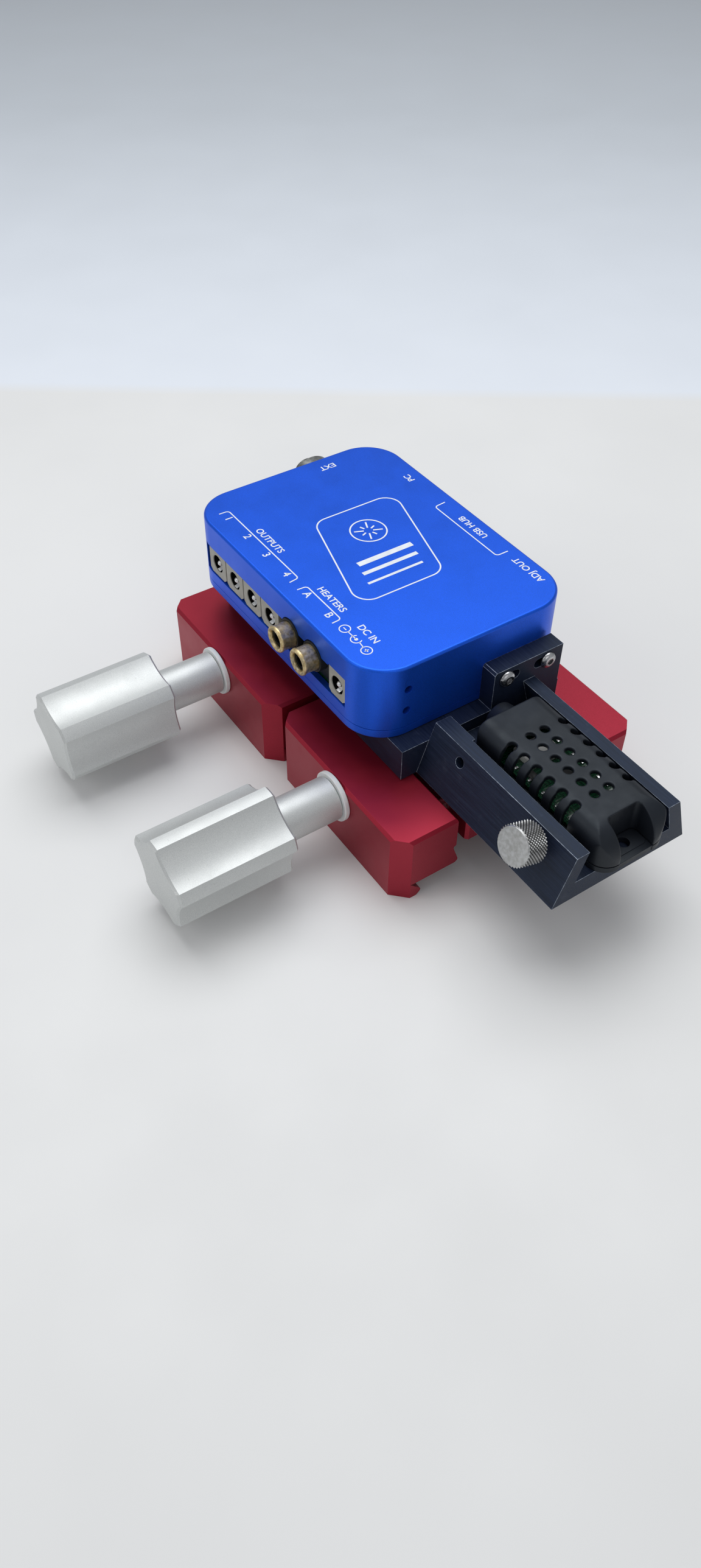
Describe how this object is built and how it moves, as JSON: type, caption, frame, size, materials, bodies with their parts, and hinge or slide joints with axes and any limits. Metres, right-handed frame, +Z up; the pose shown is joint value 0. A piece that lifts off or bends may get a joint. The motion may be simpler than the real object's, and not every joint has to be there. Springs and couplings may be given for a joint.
{
  "type": "dual dovetail saddle with power box and sensor bracket",
  "caption": "Clamping saddle for two widths of dovetail plate, standing mouth down, with a bracket that holds a power box and a weather sensor.",
  "frame": {"origin": "middle of the wide dovetail mouth, on the plane of the jaws' undersides", "axes": "+Y along the dovetail groove away from the sensor, +Z up through the saddle plate to the box, +X towards the fixed jaw"},
  "size_m": [0.1604, 0.1928, 0.0662],
  "materials": {
    "red_anodised": "satin anodised red",
    "blasted_aluminium": "bead-blasted silver",
    "screw_steel": "plain steel",
    "black_steel": "black oxide",
    "white_nylon": "natural nylon",
    "printed_plastic": "layered print, near black with a blue cast",
    "insert_brass": "plain brass",
    "thumb_metal": "knurled, mottled grey metal",
    "sensor_plastic": "moulded black, fine texture",
    "circuit_green": "solder mask",
    "chip_parts": "mixed small components",
    "blue_anodised": "satin anodised blue",
    "socket_grey": "warm grey nylon",
    "black_nylon": "black nylon",
    "socket_metal": "tin plated",
    "tarnished_gold": "thin worn gold over grey metal",
    "tongue_white": "moulded white",
    "port_metal": "dull nickel"
  },
  "bodies": {
    "saddle": {"saddle_body": "red_anodised", "front_guide_pins": "screw_steel", "rear_guide_pins": "screw_steel", "front_jaw_spring": "screw_steel", "rear_jaw_spring": "screw_steel", "bracket": "printed_plastic", "bracket_bolts": "black_steel", "thumb_insert": "insert_brass", "box_cover": "blue_anodised", "box_base": "blue_anodised", "base_screws": "black_steel", "tab_screws": "screw_steel", "box_board": "circuit_green", "board_screws": "screw_steel", "board_parts": "chip_parts", "output_socket_1": "socket_grey", "output_socket_2": "socket_grey", "output_socket_3": "socket_grey", "output_socket_4": "socket_grey", "output_socket_pins": "socket_metal", "input_socket": "socket_grey", "input_socket_pin": "socket_metal", "heater_block": "black_nylon", "heater_barrel_a": "tarnished_gold", "heater_barrel_b": "tarnished_gold", "heater_liners": "black_nylon", "usb_stack_1": "socket_metal", "usb_stack_2": "socket_metal", "usb_tongues": "tongue_white", "data_port": "socket_metal", "data_port_tongue": "tongue_white", "adjustable_socket": "black_nylon", "adjustable_socket_pin": "socket_metal", "accessory_port_shell": "port_metal", "accessory_port_nut": "port_metal", "accessory_port_insert": "black_nylon"},
    "front_jaw": {"front_jaw": "red_anodised", "front_knob_washer": "white_nylon"},
    "rear_jaw": {"rear_jaw": "red_anodised", "rear_knob_washer": "white_nylon"},
    "front_knob": {"front_knob": "blasted_aluminium", "front_clamp_screw": "screw_steel"},
    "rear_knob": {"rear_knob": "blasted_aluminium", "rear_clamp_screw": "screw_steel"},
    "thumb_tip": {"thumb_screw_tip": "white_nylon"},
    "thumb_screw": {"thumb_screw": "thumb_metal"},
    "sensor": {"sensor_cover": "sensor_plastic", "sensor_base": "sensor_plastic", "sensor_board": "circuit_green", "sensor_parts": "chip_parts", "sensor_gland": "sensor_plastic"}
  },
  "joints": [
    {"name": "front_jaw_slide", "type": "slide", "parent": "saddle", "child": "front_jaw", "axis": [1, 0, 0], "range_m": [-0.003, 0.0036], "deforming": ["front_jaw_spring"]},
    {"name": "front_knob_turn", "type": "hinge", "parent": "front_jaw", "child": "front_knob", "pos_m": [-0.048, -0.03645, 0.0192], "axis": [1, 0, 0], "range_deg": [-866, 1038]},
    {"name": "rear_jaw_slide", "type": "slide", "parent": "saddle", "child": "rear_jaw", "axis": [1, 0, 0], "range_m": [-0.0017, 0.0049], "deforming": ["rear_jaw_spring"]},
    {"name": "rear_knob_turn", "type": "hinge", "parent": "rear_jaw", "child": "rear_knob", "pos_m": [-0.0493, 0.03645, 0.0192], "axis": [1, 0, 0], "range_deg": [-491, 1413]},
    {"name": "thumb_tip_slide", "type": "slide", "parent": "saddle", "child": "thumb_tip", "axis": [0.9455, 0, -0.3256], "range_m": [-0.008, 0]},
    {"name": "thumb_screw_turn", "type": "hinge", "parent": "thumb_tip", "child": "thumb_screw", "pos_m": [-0.0204, -0.0991, 0.0407], "axis": [0.9455, 0, -0.3256], "range_deg": [-4116, 0]},
    {"name": "sensor_slide", "type": "slide", "parent": "saddle", "child": "sensor", "axis": [0, -1, 0], "range_m": [-0.003, 0.062]}
  ],
  "couplings": [
    {"joint": "front_knob_turn", "follows": "front_jaw_slide", "rad_per_m": 5026.5},
    {"joint": "rear_knob_turn", "follows": "rear_jaw_slide", "rad_per_m": 5026.5},
    {"joint": "thumb_screw_turn", "follows": "thumb_tip_slide", "rad_per_m": 8976}
  ]
}
